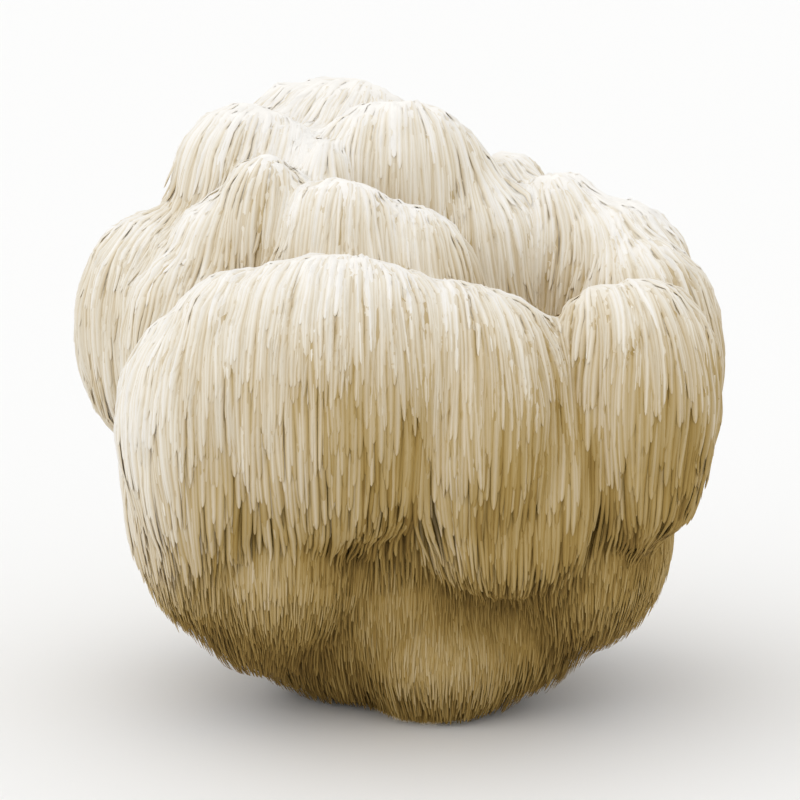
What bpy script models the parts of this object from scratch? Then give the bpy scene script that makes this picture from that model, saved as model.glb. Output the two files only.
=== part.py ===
"""A lion's mane mushroom: one fruiting body of rounded lobes, cut off flat where it grew.

Metres, +Z up. The origin is the middle of the flat cut, and -Y is the side with the big front lobe.
"""

import bmesh
import bpy
from mathutils import Matrix, Vector

MM = 0.001

# The flat cut that the mushroom rests on, and the short foot above it.
CUT_HALF_WIDTH = 16 * MM
CUT_HALF_DEPTH = 27 * MM
FOOT_HEIGHT = 8 * MM
FOOT_SEGMENTS = 48

# Each lobe is a dome over a hanging part, because its spines hang down from the dome.
# name: (x, y, z) of its widest level, (half width, half depth), rise of the dome, drop below it.
# All in millimetres.
LOBES = {
    # the heart of the ball, which all the lobes grow from
    "heart": ((-8, 8, 66), (52, 36), 44, 40),
    "underside": ((-7, 4, 40), (56, 40), 20, 41),
    # the wide front lobe, in five swells and a hanging corner
    "front_left": ((-52, -36, 80), (24, 20), 28, 34),
    "front_left_crest": ((-45, -38, 91), (20, 18), 26, 30),
    "front_middle": ((-24, -41, 87), (40, 20), 34, 34),
    "front_right_crest": ((4, -40, 92), (14, 16), 23, 28),
    "front_right": ((11, -39, 84), (24, 20), 28, 34),
    "front_corner": ((32, -40, 64), (9, 13), 30, 20),
    # its neighbours to the right and to the left
    "right_front": ((51, -35, 88), (19, 19), 26, 36),
    "right_front_inner": ((42, -36, 87), (11, 15), 26, 34),
    "right_front_corner": ((37, -37, 94), (6, 10), 18, 26),
    "left_shoulder": ((-63, -12, 92), (13, 13), 23, 36),
    "left_shoulder_inner": ((-52, -13, 93), (11, 12), 22, 30),
    "left_outer": ((-67, 12, 94), (22, 19), 29, 28),
    # the lobes that rise one behind the other to the top
    "centre_middle": ((-22, -12, 99), (24, 15), 36, 40),
    "centre_right": ((-4, -12, 96), (18, 15), 32, 38),
    "upper_left_low": ((-41, -6, 117), (12, 12), 23, 34),
    "upper_left_ledge": ((-54, -4, 106), (12, 12), 22, 32),
    "upper_left": ((-47, 18, 126), (18, 16), 23, 40),
    "upper_left_inner": ((-38, 16, 124), (16, 14), 21, 36),
    "upper_step": ((-27, 7, 124), (8, 10), 17, 24),
    "upper_middle": ((-8, 19, 108), (30, 16), 42, 44),
    "upper_right_slope": ((13, 14, 98), (20, 17), 32, 40),
    "top_back": ((-23, 38, 118), (28, 19), 35, 44),
    "top_back_left": ((-35, 36, 122), (17, 14), 30, 34),
    # the right side, behind the right front lobe
    "right_inner": ((33, 16, 99), (18, 17), 33, 46),
    "right_knob": ((20, 32, 114), (12, 13), 21, 30),
    "right_outer": ((47, 8, 100), (20, 16), 26, 34),
    "right_edge": ((53, -4, 88), (20, 19), 30, 32),
    "right_gap": ((26, -14, 80), (20, 14), 20, 30),
    # the lower tiers, which turn in to the cut
    "lower_left": ((-53, -20, 64), (23, 28), 22, 41),
    "lower_left_bulge": ((-36, -28, 46), (22, 20), 34, 24),
    "left_low": ((-60, 4, 60), (15, 20), 18, 26),
    "under_left": ((-40, -14, 31), (20, 22), 14, 18),
    "recess": ((-8, -24, 60), (20, 18), 20, 24),
    "lower_middle": ((19, -34, 54), (23, 18), 22, 16),
    "lower_right": ((36, -8, 46), (25, 34), 30, 28),
    "lower_right_under": ((20, -5, 24), (20, 26), 18, 19),
    "bottom": ((3, -12, 18), (24, 26), 20, 18),
    # the far side
    "back_left_high": ((-50, 40, 104), (22, 20), 28, 36),
    "back_left_outer": ((-63, 31, 76), (18, 20), 25, 30),
    "back_right_high": ((26, 46, 98), (24, 20), 28, 34),
    "back_top": ((0, 52, 108), (18, 15), 24, 26),
    "back_middle": ((-24, 56, 82), (31, 18), 27, 32),
    "back_middle_right": ((19, 54, 76), (22, 18), 24, 30),
    "back_right_outer": ((48, 33, 84), (18, 18), 25, 26),
    "right_side_low": ((46, 14, 56), (16, 22), 20, 26),
    "back_left_low": ((-44, 41, 50), (24, 22), 24, 28),
    "back_right_low": ((33, 40, 48), (25, 22), 22, 28),
    "back_low": ((-6, 46, 42), (25, 22), 22, 26),
}
LOBE_SUBDIVISIONS = 4

# How the lobes melt together, and the share of the fine skin's faces that is kept.
SKIN_VOXEL = 2.6 * MM
CREASE_SMOOTHING = 0.5
CREASE_SMOOTHING_STEPS = 4
KEPT_FACE_SHARE = 0.27

# The side of the block that takes away all below the cut.
GROUND_SIDE = 0.4

FLESH_COLOUR = (0.80, 0.71, 0.54, 1.0)
FLESH_ROUGHNESS = 0.75


def clear_scene():
    """Remove every object of the scene."""
    for item in list(bpy.data.objects):
        bpy.data.objects.remove(item, do_unlink=True)


def object_from(mesh, name):
    """Turn a bmesh into a named object of the scene."""
    data = bpy.data.meshes.new(name)
    mesh.to_mesh(data)
    mesh.free()
    made = bpy.data.objects.new(name, data)
    bpy.context.collection.objects.link(made)
    return made


def flesh_material():
    """Cream-white flesh, dull and not metallic."""
    material = bpy.data.materials.new("flesh")
    material.use_nodes = True
    shader = material.node_tree.nodes["Principled BSDF"]
    shader.inputs["Base Color"].default_value = FLESH_COLOUR
    shader.inputs["Roughness"].default_value = FLESH_ROUGHNESS
    shader.inputs["Metallic"].default_value = 0.0
    return material


def add_lobe(mesh, centre, half_sizes, rise, drop):
    """Add a ball stretched sideways, whose upper half is as high as rise and whose lower as drop."""
    ball = bmesh.ops.create_icosphere(mesh, subdivisions=LOBE_SUBDIVISIONS, radius=1.0)
    half_width, half_depth = half_sizes
    for point in ball["verts"]:
        height = rise if point.co.z > 0 else drop
        stretched = Vector((point.co.x * half_width, point.co.y * half_depth, point.co.z * height))
        point.co = (stretched + Vector(centre)) * MM


def add_foot(mesh):
    """Add an upright oval foot that runs through the cut, so that the cut is an oval of its size."""
    bmesh.ops.create_cone(
        mesh,
        cap_ends=True,
        segments=FOOT_SEGMENTS,
        radius1=1.0,
        radius2=1.0,
        depth=2 * FOOT_HEIGHT,
        matrix=Matrix.Diagonal((CUT_HALF_WIDTH, CUT_HALF_DEPTH, 1.0, 1.0)),
    )


def ground_cutter():
    """A block that fills the space below the cut."""
    mesh = bmesh.new()
    below = Matrix.Translation((0, 0, -GROUND_SIDE / 2))
    bmesh.ops.create_cube(mesh, size=GROUND_SIDE, matrix=below)
    cutter = object_from(mesh, "ground_cutter")
    cutter.hide_render = True
    cutter.display_type = "WIRE"
    return cutter


def fruiting_body():
    """The lobes and the foot, melted into one skin and cut off flat."""
    mesh = bmesh.new()
    for centre, half_sizes, rise, drop in LOBES.values():
        add_lobe(mesh, centre, half_sizes, rise, drop)
    add_foot(mesh)
    body = object_from(mesh, "fruiting_body")
    body.data.shade_smooth()
    body.data.materials.append(flesh_material())

    melt = body.modifiers.new("melt_lobes", "REMESH")
    melt.mode = "VOXEL"
    melt.voxel_size = SKIN_VOXEL
    melt.use_smooth_shade = True

    soften = body.modifiers.new("soften_creases", "SMOOTH")
    soften.factor = CREASE_SMOOTHING
    soften.iterations = CREASE_SMOOTHING_STEPS

    thin = body.modifiers.new("keep_fewer_faces", "DECIMATE")
    thin.ratio = KEPT_FACE_SHARE

    cut = body.modifiers.new("cut_flat", "BOOLEAN")
    cut.operation = "DIFFERENCE"
    cut.solver = "EXACT"
    cut.object = ground_cutter()
    return body


clear_scene()
fruiting_body()
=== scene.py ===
"""The look of the lion's mane mushroom: tan flesh, hung all over with thousands of pale spines.

Metres, +Z up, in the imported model's frame. Every spine is a closed wedge of mesh with a soft ridge.
It grows from the flesh, follows the lobe it is on and hangs down, as far out as the CAD solid is.
"""

import math

import bmesh
import bpy
import numpy as np
from mathutils import Euler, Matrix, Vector, noise
from mathutils.bvhtree import BVHTree
from mathutils.kdtree import KDTree


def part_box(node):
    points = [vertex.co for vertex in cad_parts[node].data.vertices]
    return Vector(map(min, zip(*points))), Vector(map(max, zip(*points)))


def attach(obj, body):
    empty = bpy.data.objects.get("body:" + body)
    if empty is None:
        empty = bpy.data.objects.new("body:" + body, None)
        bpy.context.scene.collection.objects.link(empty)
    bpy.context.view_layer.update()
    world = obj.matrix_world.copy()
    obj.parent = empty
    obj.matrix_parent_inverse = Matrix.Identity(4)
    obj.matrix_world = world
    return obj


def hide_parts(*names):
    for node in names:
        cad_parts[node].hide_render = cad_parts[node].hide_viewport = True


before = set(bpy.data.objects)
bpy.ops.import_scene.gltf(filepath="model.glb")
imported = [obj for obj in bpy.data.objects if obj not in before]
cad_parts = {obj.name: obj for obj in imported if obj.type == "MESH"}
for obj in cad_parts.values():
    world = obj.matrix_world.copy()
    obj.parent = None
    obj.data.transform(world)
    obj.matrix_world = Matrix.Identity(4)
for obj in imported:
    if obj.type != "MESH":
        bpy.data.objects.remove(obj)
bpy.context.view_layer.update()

MM = 0.001
NODE = "fruiting_body"
BODY = "root"
SEED = 7

# The picture: 800 pixels square, with the foot of the mushroom at FOOT_PIXEL. What shows there is
# the front of the foot, which is FOOT_FRONT before the middle.
PICTURE_SIDE = 800
MM_PER_PIXEL = 0.25
FOOT_PIXEL = (430, 722)
FOOT_FRONT = 27 * MM
CAMERA_ELEVATION = math.radians(12)
CAMERA_DISTANCE = 1.1
CLIP_START = 0.05
SENSOR = 36

# The light: a wide one from above, and the pale surrounding.
SKY_LIGHT = 0.55
SKY_LIGHT_WIDTH = math.radians(80)
SKY_LIGHT_WAY = (0.7, 0.3, -1.0)
STUDIO_COLOUR = (1.0, 1.0, 1.0, 1.0)
STUDIO_LIGHT = 1.0

# The floor.
FLOOR_RADIUS = 8.0
FLOOR_SEGMENTS = 96
FLOOR_COLOUR = (0.86, 0.86, 0.855, 1.0)
FLOOR_ROUGHNESS = 0.7

# The grid on which the distance to the CAD skin is sampled.
GRID_STEP = 2 * MM
GRID_MARGIN = 18 * MM
GRID_EDGE = 1.001

# Slopes are the upward share of the way out of the skin: crests face up, undersides face down.
CREST_SLOPES = (0.2, 0.9)
UNDER_SLOPES = (0.0, 0.5)

# The flesh is an even copy of the CAD mesh, which is sunk under the skin by the depth of the coat
# of spines in a few rounds. The depth is a share of the spines' width.
WELD_DISTANCE = 0.001 * MM
FLESH_VOXEL = 2.2 * MM
SOFTENING_ROUNDS = 3
SINKING_ROUNDS = 5
COAT_DEPTH = 0.34
COAT_DEPTH_ON_CREST = 0.24
COAT_IN_CREASE = 0.6
CREASE_REACH = 6 * MM
CREASE_GAPS = (0.6, 0.95)
CUT_HEIGHT = 0.5 * MM

# Soft flutes, which run down the lobes and scallop their crests.
FLUTE_LIFT_LOW = 0.2 * MM
FLUTE_LIFT_HIGH = 1.1 * MM
FLUTE_SIZE = np.array([5.0, 5.0, 30.0]) * MM
FLUTE_GAIN = 2.2

# The spines: how far apart they stand and how long and wide they are, low down and high up.
LOW_LEVEL = 35 * MM
HIGH_LEVEL = 80 * MM
SPACING_LOW = 1.05 * MM
SPACING_HIGH = 2.1 * MM
LENGTH_LOW = 9 * MM
LENGTH_HIGH = 26 * MM
WIDTH_LOW = 0.6 * MM
WIDTH_HIGH = 1.6 * MM
CREST_EXTRA_LENGTH = 0.35
CREST_CROWDING = 0.25
UNDER_CROWDING = 0.12
UNDER_NARROWING = 0.25
ROOTS_TRIED = 4
LOWEST_ROOT = 1.0 * MM

# Spines near each other form a lock, and share part of what chance gives them.
LOCK_SPACING = 5.0 * MM
LENGTH_SPREAD = (0.6, 1.15)
LOCK_LENGTH_SPREAD = (0.75, 1.15)
WIDTH_SPREAD = (0.7, 1.3)
CLUMP_SHARE = 0.15
CLUMP_CURVE = 1.5

# How a spine grows. It starts under the flesh, rises to its own layer of the coat, and turns to the
# way that it is combed. On crests, spines fan out from FAN_CENTRE, which is near the back, so that
# most of them fall to the front. A spine ends where it can't go on.
GROWTH_STEPS = 14
LEAST_STEPS = 3
LEAST_STRIDE = 0.45
ROOT_DEPTH = 0.3 * MM
ROOT_RISE = 0.3
RISE_CURVE = 6
FAN_CENTRE = np.array([-8.0, 42.0, 0.0]) * MM
FAN_SHARE = 0.5
DRIFT = 0.04
TURN_SHARE = 0.5
CLING_UNDER = 0.55
PULL_IN = 0.8
STANDOFF_WALL = 0.15 * MM
STANDOFF_UNDER = 3.5 * MM
DEEPEST_LAYER = 0.6
TIP_LIFT_SHARE = 0.4
FLOOR_GAP = 0.5 * MM

# A spine's cross-section is a wedge: a ridge on the outer side, and two edges that sink in.
RING_SIDES = 3
RIDGE_SHARE = 0.1
SINK_SHARE = 0.18
LONG_SPINE = 17 * MM
LONG_SPINE_RINGS = 10
SHORT_SPINE_RINGS = 5
RING_CROWDING = 1.3
NEXT_TO_LAST_RING = 0.9
LAST_RING = 0.97
WIDTH_PLACES = (0.0, 0.15, 0.6, 0.88, LAST_RING)
WIDTH_SHARES = (0.7, 1.0, 1.0, 0.82, 0.48)

# How pale the spines and the flesh are. The tone runs from 0, the darkest tan, to 1, white. It
# grows with height, partly as the tan of the lower flesh and partly as painted shade low down. The
# rest is painted light: paler where a place sees much of the sky, on crests and on the left side.
TONE_LEAST_LOW = 0.21
TONE_LEAST_HIGH = 0.30
TONE_OF_HEIGHT = 0.19
HEIGHT_LEVELS = (90 * MM, 130 * MM)
PAINTED_SKY_LIGHT = 0.34
PAINTED_CREST_LIGHT = 0.14
OPEN_REACHES = (5 * MM, 11 * MM, 22 * MM)
OUTWARD_LEAN = 0.6
UPWARD_LEAN = 0.8
PAINTED_LEFT_LIGHT = 0.30
PAINTED_LEFT_LIGHT_PLACE = 0.14
HALF_WIDTH = 80 * MM
PAINTED_SIDE_LIGHT_RANGE = (-0.07, 0.29)
LEFT_STARTS = (20 * MM, 60 * MM)
LEFT_ENDS = (80 * MM, 120 * MM)
TONE_MOST = 1.05
TONE_OF_CUT = 0.7

# Painted shade: how much darker places are that lie deep in the coat or between flutes.
TONE_OF_SHADOWS_LOW = 0.8
TONE_OF_SHADOWS_HIGH = 1.2
SHADOW_OF_FLESH = 0.5
SHADOW_OF_FLUTES = 0.3

# How the tone varies on one spine, from one spine to the next, and across a spine, whose edges get
# painted shade and whose ridge gets painted light. The lines that this draws along the spines fade
# on the palest and the darkest ones.
TONE_OF_ROOT = 0.5
ROOT_PLACE = 0.35
TONE_TOWARDS_TIP = 0.06
TONE_SPREAD = 0.03
PAINTED_RIDGE_LIGHT = 0.05
PAINTED_EDGE_SHADE = -0.2
LINES_FADE = 0.6
PALE_LINES_FADE = (0.65, 1.0)
DARK_LINES_FADE = (0.3, 0.6)

# The UVs have a little width across a spine, and keep off the borders.
UV_LAYER = "OFBake"
UV_WIDTH = 0.008
UV_MARGIN = 0.01

# Each tone and its colour, from the darkest of the painted shade in creases to the palest of the
# painted light on crests.
TONE_COLOURS = (
    (0.0, (0.09, 0.055, 0.015)),
    (0.15, (0.215, 0.130, 0.030)),
    (0.25, (0.343, 0.227, 0.066)),
    (0.35, (0.445, 0.326, 0.145)),
    (0.5, (0.591, 0.490, 0.331)),
    (0.65, (0.716, 0.644, 0.515)),
    (0.75, (0.798, 0.746, 0.646)),
    (0.85, (0.874, 0.848, 0.804)),
    (1.0, (0.930, 0.915, 0.880)),
)

# The surfaces, and the fine grain of the flesh.
SPECULAR = 0.1
SPINE_ROUGHNESS = 0.6
FLESH_ROUGHNESS = 0.8
GRAIN_SCALE = 450.0
GRAIN_TONE = 0.16
GRAIN_HEIGHT = 0.2 * MM

# The pieces that the spines are divided into, in their order round the mushroom.
SECTORS = ("front", "front_right", "back_right", "back", "back_left", "front_left")

UP = np.array([0.0, 0.0, 1.0])
LEVEL = np.array([1.0, 1.0, 0.0])

# Too small to show. It keeps a length that vectors are divided by from being zero.
TINY = 1e-9


def unit(vectors):
    """The same directions with length one."""
    lengths = np.linalg.norm(vectors, axis=-1, keepdims=True)
    return vectors / np.maximum(lengths, TINY)


def dot(first, second):
    """Row by row product, kept as a column."""
    return np.sum(first * second, axis=-1, keepdims=True)


def ease(values, low, high):
    """From 0 at low to 1 at high, flat at both ends."""
    share = np.clip((values - low) / (high - low), 0, 1)
    return share * share * (3 - 2 * share)


def by_height(points, low, high):
    """A value that goes from low near the floor to high on the upper lobes."""
    return low + (high - low) * ease(points[..., 2], LOW_LEVEL, HIGH_LEVEL)


def points_of(data):
    """The points of a mesh, as rows."""
    points = np.empty(len(data.vertices) * 3)
    data.vertices.foreach_get("co", points)
    return points.reshape(-1, 3)


def add_object(name, data):
    """A new object of the scene, made of the given mesh, light or camera."""
    made = bpy.data.objects.new(name, data)
    bpy.context.collection.objects.link(made)
    return made


class Skin:
    """How far any point is from the CAD skin, and which way leads out of it, read from a grid."""

    def __init__(self, mesh):
        # The flat cut is left out, so that spines and flesh near it follow the sides.
        faces = [tuple(face.vertices) for face in mesh.polygons if face.center.z > CUT_HEIGHT]
        tree = BVHTree.FromPolygons([point.co for point in mesh.vertices], faces)
        lowest, highest = (np.array(corner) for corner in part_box(NODE))
        self.corner = lowest - GRID_MARGIN
        counts = np.ceil((highest - lowest + 2 * GRID_MARGIN) / GRID_STEP).astype(int) + 1
        self.gaps = np.empty(counts)
        for index in np.ndindex(*counts):
            point = Vector(self.corner + np.array(index) * GRID_STEP)
            nearest, normal, _, gap = tree.find_nearest(point)
            self.gaps[index] = math.copysign(gap, (point - nearest).dot(normal))

    def gap(self, points):
        """Distance to the skin, above zero outside it."""
        # Places stop just short of the last grid point, so that their cell's far corner exists.
        last = np.array(self.gaps.shape) - GRID_EDGE
        place = np.clip((points - self.corner) / GRID_STEP, 0, last)
        cell = place.astype(int)
        part = place - cell
        total = np.zeros(points.shape[:-1])
        for corner in np.ndindex(2, 2, 2):
            weight = np.prod(np.where(corner, part, 1 - part), axis=-1)
            x, y, z = np.moveaxis(cell + corner, -1, 0)
            total += weight * self.gaps[x, y, z]
        return total

    def outward(self, points):
        """Direction that leads away from the skin's inside."""
        steps = np.eye(3) * GRID_STEP
        slopes = [self.gap(points + step) - self.gap(points - step) for step in steps]
        return unit(np.stack(slopes, axis=-1))


def openness(skin, points, ways):
    """From 0 where other lobes shut the way out of a point to 1 where it is open."""
    shares = [np.clip(skin.gap(points + ways * reach) / reach, 0, 1) for reach in OPEN_REACHES]
    return np.mean(shares, axis=0)


def tones_with_painted_light(skin, points, shadows):
    """Painted light and shade in how pale points are: most on open crests, less underneath and deep
    in the coat.
    """
    outward = skin.outward(points)
    on_skin = points - outward * skin.gap(points)[..., None]
    heights = points[..., 2]
    # Painted light from the left, at mid heights: paler on the left, a little darker on the right.
    sideways = ease(heights, *LEFT_STARTS) * (1 - ease(heights, *LEFT_ENDS))
    left_place = (FAN_CENTRE[0] - points[..., 0]) / HALF_WIDTH
    painted_side_light = PAINTED_LEFT_LIGHT_PLACE * left_place - PAINTED_LEFT_LIGHT * outward[..., 0]
    # Paler with height: partly the tan of the older lower flesh, partly painted shade low down.
    pale = by_height(points, TONE_LEAST_LOW, TONE_LEAST_HIGH)
    pale += sideways * np.clip(painted_side_light, *PAINTED_SIDE_LIGHT_RANGE)
    pale += TONE_OF_HEIGHT * ease(heights, *HEIGHT_LEVELS)
    # Painted light from above: paler where a place sees much of the sky, most of all on crests.
    painted_light_from_above = PAINTED_SKY_LIGHT + PAINTED_CREST_LIGHT * ease(outward[..., 2], *CREST_SLOPES)
    pale += painted_light_from_above * openness(skin, on_skin, unit(outward * OUTWARD_LEAN + UP * UPWARD_LEAN))
    # Painted shade for what lies deep in the coat or between flutes, stronger higher up.
    shadows = shadows * by_height(points, TONE_OF_SHADOWS_LOW, TONE_OF_SHADOWS_HIGH)
    return pale - shadows * pale * (TONE_MOST - pale)


def flutes(points):
    """Rounded ridges from 0 to 1, that run down the lobes with sharp notches between them."""
    places = (points / FLUTE_SIZE).reshape(-1, 3)
    waves = np.array([noise.noise(Vector(place)) for place in places])
    return np.minimum(FLUTE_GAIN * np.abs(waves), 1).reshape(points.shape[:-1])


def fluted(skin, points):
    """The points moved out of the skin by the flutes, which are lower near the floor."""
    lifts = flutes(points) * by_height(points, FLUTE_LIFT_LOW, FLUTE_LIFT_HIGH)
    return points + skin.outward(points) * lifts[..., None]


def remeshed_skin(node):
    """An even, closed copy of the CAD node's mesh."""
    data = node.data.copy()
    mesh = bmesh.new()
    mesh.from_mesh(data)
    bmesh.ops.remove_doubles(mesh, verts=mesh.verts, dist=WELD_DISTANCE)
    mesh.to_mesh(data)
    mesh.free()
    rough = add_object("rough_flesh", data)
    remesh = rough.modifiers.new("even_faces", "REMESH")
    remesh.mode = "VOXEL"
    remesh.voxel_size = FLESH_VOXEL
    rough.modifiers.new("soften", "SMOOTH").iterations = SOFTENING_ROUNDS
    evaluated = rough.evaluated_get(bpy.context.evaluated_depsgraph_get())
    even = bpy.data.meshes.new_from_object(evaluated)
    bpy.data.objects.remove(rough, do_unlink=True)
    return even


def coat_depths(skin, points, outward):
    """How deep the coat of spines is at each point: less on crests, and less in the creases."""
    on_crest = ease(outward[:, 2], *CREST_SLOPES)
    shares = COAT_DEPTH + (COAT_DEPTH_ON_CREST - COAT_DEPTH) * on_crest
    out_of_crease = ease(skin.gap(points + outward * CREASE_REACH) / CREASE_REACH, *CREASE_GAPS)
    shares *= COAT_IN_CREASE + (1 - COAT_IN_CREASE) * out_of_crease
    return shares * by_height(points, WIDTH_LOW, WIDTH_HIGH)


def make_flesh(skin, node):
    """The flesh, which lies under the skin by the depth of the coat, and is flat at the cut."""
    data = remeshed_skin(node)
    points = points_of(data)
    on_cut = points[:, 2] < CUT_HEIGHT
    for _ in range(SINKING_ROUNDS):
        outward = skin.outward(points)
        excess = np.maximum(skin.gap(points) + coat_depths(skin, points, outward), 0)
        points = points - outward * excess[:, None]
    points[on_cut, 2] = 0
    points[:, 2] = np.maximum(points[:, 2], 0)
    data.vertices.foreach_set("co", points.ravel())
    data.shade_smooth()
    data.update()
    # The copy comes with the CAD node's plain material.
    data.materials.clear()
    data.materials.append(flesh_material())
    # The flesh gets the same painted light and shade, with painted shade for lying under the coat.
    pale = np.where(on_cut, TONE_OF_CUT, tones_with_painted_light(skin, points, SHADOW_OF_FLESH))
    data.attributes.new("tone", "FLOAT", "POINT").data.foreach_set("value", pale)
    return add_object("flesh_body", data)


def flute_flesh(skin, flesh):
    """Move the flesh out with the spines, except at the cut."""
    points = points_of(flesh.data)
    on_cut = points[:, 2:] < CUT_HEIGHT
    moved = np.where(on_cut, points, fluted(skin, points))
    moved[:, 2] = np.maximum(moved[:, 2], 0)
    flesh.data.vertices.foreach_set("co", moved.ravel())
    flesh.data.update()


def spread_out(points, spacings):
    """Indices of points that keep their spacing from each other, first come first kept."""
    tree = KDTree(len(points))
    for index, point in enumerate(points):
        tree.insert(point, index)
    tree.balance()
    crowded = np.zeros(len(points), bool)
    kept = []
    for index, point in enumerate(points):
        if crowded[index]:
            continue
        kept.append(index)
        for _, other, _ in tree.find_range(point, spacings[index]):
            crowded[other] = True
    return np.array(kept)


def scattered_over(data, random):
    """Points thrown evenly over a mesh, several for each spine that it has room for."""
    data.calc_loop_triangles()
    corners = np.empty(len(data.loop_triangles) * 3, int)
    data.loop_triangles.foreach_get("vertices", corners)
    triangles = points_of(data)[corners.reshape(-1, 3)]
    first, second = (triangles[:, side] - triangles[:, 0] for side in (1, 2))
    areas = np.linalg.norm(np.cross(first, second), axis=1) / 2
    wanted = int(ROOTS_TRIED * areas.sum() / SPACING_LOW**2)
    chosen = random.choice(len(areas), wanted, p=areas / areas.sum())
    across, along = random.random((2, wanted, 1))
    # Points beyond the long side of a triangle are folded back into it.
    folded = across + along > 1
    across = np.where(folded, 1 - across, across)
    along = np.where(folded, 1 - along, along)
    return triangles[chosen, 0] + across * first[chosen] + along * second[chosen]


def spine_roots(skin, flesh, random):
    """Points spread out over the flesh, closer on crests and undersides, but not on the cut."""
    tried = scattered_over(flesh.data, random)
    tried = tried[tried[:, 2] > LOWEST_ROOT]
    slopes = skin.outward(tried)[:, 2]
    crowding = CREST_CROWDING * ease(slopes, *CREST_SLOPES)
    crowding = crowding + UNDER_CROWDING * ease(-slopes, *UNDER_SLOPES)
    spacings = by_height(tried, SPACING_LOW, SPACING_HIGH) * (1 - crowding)
    return tried[spread_out(tried, spacings)]


def nearest_leaders(roots):
    """For each root the index of the spine that leads its lock."""
    leaders = spread_out(roots, np.full(len(roots), LOCK_SPACING))
    tree = KDTree(len(leaders))
    for leader in leaders:
        tree.insert(roots[leader], leader)
    tree.balance()
    return np.array([tree.find(root)[1] for root in roots])


def combed(points, outward, drift):
    """The way that spines lie along the surface: down, and on a crest away from its centre."""
    away = unit((points - FAN_CENTRE) * LEVEL)
    sideways = np.cross(UP, outward)
    fall = away * FAN_SHARE * ease(outward[:, 2:], *CREST_SLOPES) + sideways * drift - UP
    return unit(fall - dot(fall, outward) * outward)


def grow(skin, roots, lengths, layers, tip_lifts, drifts):
    """Grow the spines step by step. Returns their paths and how many steps each one took.

    A spine rises from the flesh to its own layer, which is 0 at the skin and 1 down on the flesh.
    """
    outward = skin.outward(roots)
    flesh_gaps = skin.gap(roots)
    here = roots - outward * ROOT_DEPTH
    way = unit(outward * ROOT_RISE + combed(here, outward, drifts))
    paths = [here]
    steps_taken = np.full(len(roots), GROWTH_STEPS)
    growing = np.ones(len(roots), bool)
    stride = (lengths / GROWTH_STEPS)[:, None]
    for step in range(1, GROWTH_STEPS + 1):
        along = step / GROWTH_STEPS
        facing_down = ease(-outward[:, 2:], *UNDER_SLOPES)
        cling = 1 - facing_down * (1 - CLING_UNDER)
        wanted = unit(combed(here, outward, drifts) * cling - UP * (1 - cling))
        way = unit(way * (1 - TURN_SHARE) + wanted * TURN_SHARE)
        after = here + way * stride
        outward = skin.outward(after)
        # A spine that is too deep is pushed out, and one that stands off too far is pulled in.
        sunk = (1 - along) ** RISE_CURVE
        least = flesh_gaps * (layers + (1 - layers) * sunk) - ROOT_DEPTH * sunk
        least += tip_lifts * along**2
        gap = skin.gap(after)
        most = least + STANDOFF_WALL + (STANDOFF_UNDER - STANDOFF_WALL) * facing_down[:, 0]
        pushed = np.clip(least - gap, 0, None) - PULL_IN * np.clip(gap - most, 0, None)
        after = after + outward * pushed[:, None]
        # A spine stops where it hardly moves on or comes down to the floor.
        moved = np.linalg.norm(after - here, axis=1)
        blocked = (moved < LEAST_STRIDE * stride[:, 0]) | (after[:, 2] < FLOOR_GAP)
        steps_taken[growing & blocked] = step - 1
        growing &= ~blocked
        way = np.where(growing[:, None], unit(after - here), way)
        here = np.where(growing[:, None], after, here)
        paths.append(here)
    return np.stack(paths, axis=1), steps_taken


def clump(paths, leaders):
    """Draw each spine sideways to the spine that leads its lock, more so towards the tip."""
    ways = unit(np.gradient(paths, axis=1) + TINY)
    apart = paths[leaders] - paths
    sideways = apart - dot(apart, ways) * ways
    along = np.linspace(0, 1, paths.shape[1])[None, :, None]
    return paths + sideways * CLUMP_SHARE * along**CLUMP_CURVE


def ring_places(ring_count):
    """How far along a spine its rings are: closer together near the root, where it bends most."""
    bending = NEXT_TO_LAST_RING * np.linspace(0, 1, ring_count - 1) ** RING_CROWDING
    return np.append(bending, LAST_RING)


def centres_of(paths, steps_taken, along):
    """Points along the middle of each spine, at shares of the steps that it took."""
    steps = along * steps_taken[:, None]
    before = np.minimum(steps.astype(int), GROWTH_STEPS - 1)
    share = (steps - before)[..., None]
    rows = np.arange(len(paths))[:, None]
    return paths[rows, before] * (1 - share) + paths[rows, before + 1] * share


def spine_points(skin, centres, along, widths):
    """The corners of every ring and then the tip, in one row for each spine."""
    middle = centres[:, :-1]
    ways = unit(np.gradient(centres, axis=1))[:, :-1]
    across = unit(np.cross(ways, skin.outward(middle)))
    up = np.cross(across, ways)
    width = (widths[:, None] * np.interp(along[:-1], WIDTH_PLACES, WIDTH_SHARES))[..., None]
    sunk = middle - up * width * SINK_SHARE
    edge = across * width / 2
    rings = np.stack([sunk - edge, middle + up * width * RIDGE_SHARE, sunk + edge], axis=2)
    points = np.concatenate([rings.reshape(len(centres), -1, 3), centres[:, -1:]], axis=1)
    return fluted(skin, points)


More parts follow.
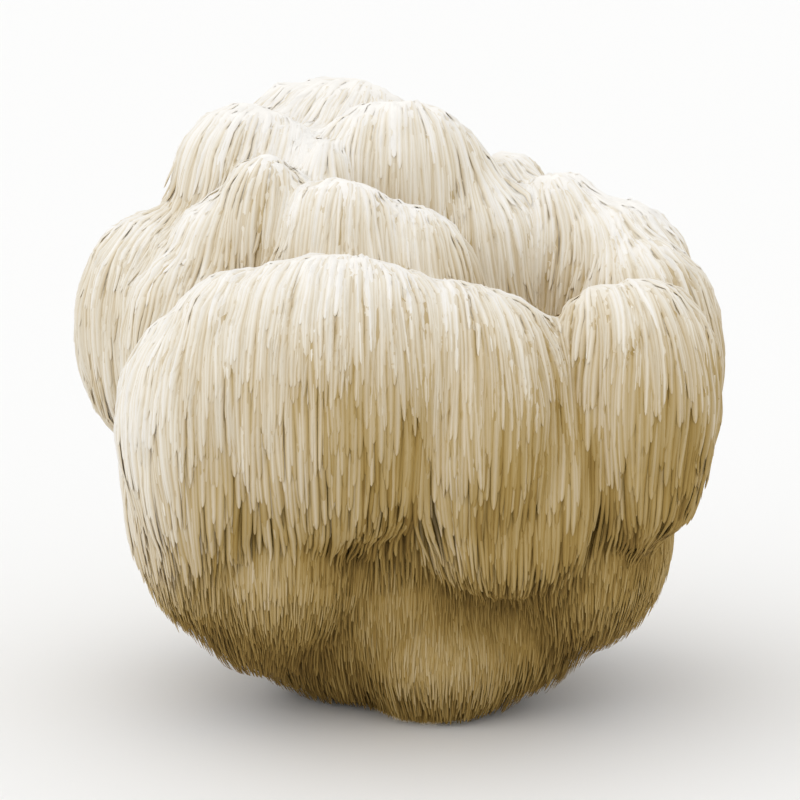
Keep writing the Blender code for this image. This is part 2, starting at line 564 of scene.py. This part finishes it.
def spine_uvs(skin, paths, centres, along, layers, shades):
    """For every point of the spines, U runs along the spine and V is the tone, with its painted light
    and shade.
    """
    near_root = paths[:, round(ROOT_PLACE * GROWTH_STEPS)]
    # Painted shade for spines deep in the coat and between flutes.
    shadows = layers[:, None] + SHADOW_OF_FLUTES * (1 - flutes(centres))
    pale = TONE_OF_ROOT * tones_with_painted_light(skin, near_root, layers)[:, None]
    pale = pale + (1 - TONE_OF_ROOT) * tones_with_painted_light(skin, centres, shadows)
    pale += shades[:, None] + TONE_TOWARDS_TIP * (along - 0.5)
    ring_tones = np.repeat(pale[:, :-1], RING_SIDES, axis=1)
    # Painted shade along each spine's edges, and painted light on its ridge.
    lines = np.tile([PAINTED_EDGE_SHADE, PAINTED_RIDGE_LIGHT, PAINTED_EDGE_SHADE + UV_WIDTH], len(along) - 1)
    fading = 1 + ease(ring_tones, *PALE_LINES_FADE) - ease(ring_tones, *DARK_LINES_FADE)
    lines = lines * (1 - LINES_FADE * fading)
    tone = np.append(ring_tones + lines, pale[:, -1:], axis=1)
    share = np.append(np.repeat(along[:-1], RING_SIDES), 1 - UV_MARGIN)
    share = share * np.ones((len(centres), 1))
    return np.stack([share, np.clip(tone, UV_MARGIN, 1 - UV_MARGIN)], axis=-1)


def spine_faces(ring_count):
    """The faces of one spine, as corner numbers: its sides, its underside, and last its end cap."""
    faces = []
    tip = ring_count * RING_SIDES
    for side in range(RING_SIDES):
        beside = (side + 1) % RING_SIDES
        for ring in range(ring_count - 1):
            a, b = ring * RING_SIDES + side, ring * RING_SIDES + beside
            faces.append((a, b, b + RING_SIDES, a + RING_SIDES))
        faces.append((tip - RING_SIDES + side, tip - RING_SIDES + beside, tip))
    faces.append((2, 1, 0))
    return faces


def spines_with(ring_count, skin, paths, steps_taken, widths, layers, shades):
    """Points, UVs, faces and smooth marks of closed spines that have the same number of rings."""
    along = np.append(ring_places(ring_count), 1.0)
    centres = centres_of(paths, steps_taken, along)
    points = spine_points(skin, centres, along, widths)
    uvs = spine_uvs(skin, paths, centres, along, layers, shades)
    count, per_spine = points.shape[:2]
    spine = spine_faces(ring_count)
    faces = [
        [corner + shift for corner in face]
        for shift in range(0, count * per_spine, per_spine)
        for face in spine
    ]
    # The two sides are smooth; the underside and the end cap are flat.
    smooth = [True] * (2 * ring_count) + [False] * (ring_count + 1)
    return points.reshape(-1, 3), uvs.reshape(-1, 2), faces, smooth * count


def spine_object(name, long_spines, short_spines):
    """One mesh object of all the spines of a sector."""
    long_points, long_uvs, long_faces, long_smooth = long_spines
    short_points, short_uvs, short_faces, short_smooth = short_spines
    shift = len(long_points)
    faces = long_faces + [[corner + shift for corner in face] for face in short_faces]
    smooth = np.array(long_smooth + short_smooth)
    uvs = np.concatenate([long_uvs, short_uvs])
    data = bpy.data.meshes.new(name)
    data.from_pydata(np.concatenate([long_points, short_points]), [], faces)
    data.polygons.foreach_set("use_smooth", smooth)
    corner_points, corner_edges = np.empty((2, len(data.loops)), int)
    data.loops.foreach_get("vertex_index", corner_points)
    data.loops.foreach_get("edge_index", corner_edges)
    # The edges of the flat faces are sharp too, or the shading of the sides turns dark there.
    sharp = np.zeros(len(data.edges), bool)
    sharp[corner_edges[np.repeat(~smooth, [len(face) for face in faces])]] = True
    data.edges.foreach_set("use_edge_sharp", sharp)
    data.uv_layers.new(name=UV_LAYER).data.foreach_set("uv", uvs[corner_points].ravel())
    return add_object(name, data)


def spine_traits(skin, roots, leaders, random):
    """Length, width, layer, drift and shade of each spine."""
    count = len(roots)
    slopes = skin.outward(roots)[:, 2]
    lengths = by_height(roots, LENGTH_LOW, LENGTH_HIGH)
    lengths = lengths * (1 + CREST_EXTRA_LENGTH * ease(slopes, *CREST_SLOPES))
    lengths = lengths * random.uniform(*LENGTH_SPREAD, count)
    lengths = lengths * random.uniform(*LOCK_LENGTH_SPREAD, count)[leaders]
    widths = by_height(roots, WIDTH_LOW, WIDTH_HIGH) * random.uniform(*WIDTH_SPREAD, count)
    widths = widths * (1 - UNDER_NARROWING * ease(-slopes, *UNDER_SLOPES))
    layers = DEEPEST_LAYER * random.random(count)
    lock_drifts = random.uniform(-1, 1, (count, 1))[leaders]
    drifts = DRIFT * (lock_drifts + random.uniform(-1, 1, (count, 1)))
    shades = random.uniform(-TONE_SPREAD, TONE_SPREAD, count)
    return lengths, widths, layers, drifts, shades


def sectors_of(points):
    """The number of the sector that each point is in, counted round from the front."""
    turn = 2 * math.pi
    angle = np.arctan2(points[:, 0], -points[:, 1]) % turn
    return np.floor(angle / turn * len(SECTORS) + 0.5).astype(int) % len(SECTORS)


def make_spines(skin, flesh):
    """All spines, as one piece for each sector round the mushroom."""
    random = np.random.default_rng(SEED)
    roots = spine_roots(skin, flesh, random)
    leaders = nearest_leaders(roots)
    lengths, widths, layers, drifts, shades = spine_traits(skin, roots, leaders, random)
    tip_lifts = TIP_LIFT_SHARE * coat_depths(skin, roots, skin.outward(roots))
    paths, steps_taken = grow(skin, roots, lengths, layers, tip_lifts, drifts)
    paths = clump(paths, leaders)
    sectors = sectors_of(roots)
    material = spine_material()
    pieces = []
    for index, name in enumerate(SECTORS):
        here = (steps_taken >= LEAST_STEPS) & (sectors == index)
        parts = []
        for chosen, ring_count in (
            (here & (lengths > LONG_SPINE), LONG_SPINE_RINGS),
            (here & (lengths <= LONG_SPINE), SHORT_SPINE_RINGS),
        ):
            looks = (steps_taken[chosen], widths[chosen], layers[chosen], shades[chosen])
            parts.append(spines_with(ring_count, skin, paths[chosen], *looks))
        piece = spine_object(f"spines_{name}", *parts)
        piece.data.materials.append(material)
        pieces.append(piece)
    return pieces


def new_material(name, roughness):
    """A material of the given roughness, with its nodes, its links and its shader."""
    material = bpy.data.materials.new(name)
    material.use_nodes = True
    tree = material.node_tree
    shader = tree.nodes["Principled BSDF"]
    shader.inputs["Roughness"].default_value = roughness
    return material, tree.nodes, tree.links, shader


def tone_ramp(nodes):
    """A node that turns a tone into its colour."""
    node = nodes.new("ShaderNodeValToRGB")
    elements = node.color_ramp.elements
    while len(elements) < len(TONE_COLOURS):
        elements.new(0.5)
    for element, (tone, colour) in zip(elements, TONE_COLOURS):
        element.position = tone
        element.color = (*colour, 1.0)
    return node


def spine_material():
    """Waxy pale spines, whose colour runs with the tone that each one carries, painted light and
    shade included.
    """
    material, nodes, links, shader = new_material("spines", SPINE_ROUGHNESS)
    shader.inputs["Specular IOR Level"].default_value = SPECULAR
    uv = nodes.new("ShaderNodeUVMap")
    uv.uv_map = UV_LAYER
    split = nodes.new("ShaderNodeSeparateXYZ")
    ramp = tone_ramp(nodes)
    links.new(uv.outputs["UV"], split.inputs["Vector"])
    links.new(split.outputs["Y"], ramp.inputs["Fac"])
    links.new(ramp.outputs["Color"], shader.inputs["Base Color"])
    return material


def flesh_material():
    """Soft flesh, pale at the cut, with a fine grain in its colour and in its surface."""
    material, nodes, links, shader = new_material("flesh", FLESH_ROUGHNESS)
    shader.inputs["Specular IOR Level"].default_value = SPECULAR
    # The tone holds the painted light and shade.
    tone = nodes.new("ShaderNodeAttribute")
    tone.attribute_name = "tone"
    place = nodes.new("ShaderNodeTexCoord")
    grain = nodes.new("ShaderNodeTexNoise")
    grain.inputs["Scale"].default_value = GRAIN_SCALE
    # The noise lies around 0.5, so half is taken off to leave the mean tone as it is.
    centred = nodes.new("ShaderNodeMath")
    centred.operation = "SUBTRACT"
    centred.inputs[1].default_value = 0.5
    varied = nodes.new("ShaderNodeMath")
    varied.operation = "MULTIPLY_ADD"
    varied.inputs[1].default_value = GRAIN_TONE
    bump = nodes.new("ShaderNodeBump")
    bump.inputs["Distance"].default_value = GRAIN_HEIGHT
    ramp = tone_ramp(nodes)
    links.new(place.outputs["Object"], grain.inputs["Vector"])
    links.new(grain.outputs["Fac"], centred.inputs[0])
    links.new(centred.outputs["Value"], varied.inputs[0])
    links.new(tone.outputs["Fac"], varied.inputs[2])
    links.new(varied.outputs["Value"], ramp.inputs["Fac"])
    links.new(ramp.outputs["Color"], shader.inputs["Base Color"])
    links.new(grain.outputs["Fac"], bump.inputs["Height"])
    links.new(bump.outputs["Normal"], shader.inputs["Normal"])
    return material


def make_floor():
    """A wide pale floor."""
    data = bpy.data.meshes.new("floor")
    mesh = bmesh.new()
    bmesh.ops.create_circle(mesh, cap_ends=True, segments=FLOOR_SEGMENTS, radius=FLOOR_RADIUS)
    mesh.to_mesh(data)
    mesh.free()
    material, _, _, shader = new_material("floor", FLOOR_ROUGHNESS)
    shader.inputs["Base Color"].default_value = FLOOR_COLOUR
    data.materials.append(material)
    floor = add_object("floor", data)


def light_scene():
    """One wide, very soft light from above and from the front left, in a pale surrounding."""
    data = bpy.data.lights.new("sky_light", "SUN")
    data.energy = SKY_LIGHT
    data.angle = SKY_LIGHT_WIDTH
    light = add_object("sky_light", data)
    light.rotation_euler = Vector(SKY_LIGHT_WAY).to_track_quat("-Z", "Y").to_euler()
    world = bpy.data.worlds.new("studio")
    world.use_nodes = True
    background = world.node_tree.nodes["Background"]
    background.inputs["Color"].default_value = STUDIO_COLOUR
    background.inputs["Strength"].default_value = STUDIO_LIGHT
    bpy.context.scene.world = world
    bpy.context.scene.view_settings.view_transform = "Standard"


def place_camera():
    """The photo's view: from the front, a little above."""
    across = (PICTURE_SIDE / 2 - FOOT_PIXEL[0]) * MM_PER_PIXEL * MM
    height = (FOOT_PIXEL[1] - PICTURE_SIDE / 2) * MM_PER_PIXEL * MM
    level = (height - FOOT_FRONT * math.sin(CAMERA_ELEVATION)) / math.cos(CAMERA_ELEVATION)
    data = bpy.data.cameras.new("camera")
    data.sensor_width = SENSOR
    data.lens = SENSOR * CAMERA_DISTANCE / (PICTURE_SIDE * MM_PER_PIXEL * MM)
    data.clip_start = CLIP_START
    camera = add_object("camera", data)
    back = Vector((0, -math.cos(CAMERA_ELEVATION), math.sin(CAMERA_ELEVATION)))
    camera.location = Vector((across, 0, level)) + back * CAMERA_DISTANCE
    camera.rotation_euler = Euler((math.pi / 2 - CAMERA_ELEVATION, 0, 0))
    bpy.context.scene.camera = camera


def build():
    """Flesh, spines, floor, light and camera."""
    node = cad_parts[NODE]
    skin = Skin(node.data)
    flesh = make_flesh(skin, node)
    spines = make_spines(skin, flesh)
    flute_flesh(skin, flesh)
    for piece in [flesh, *spines]:
        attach(piece, BODY)
        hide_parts(NODE)
    make_floor()
    light_scene()
    place_camera()


build()
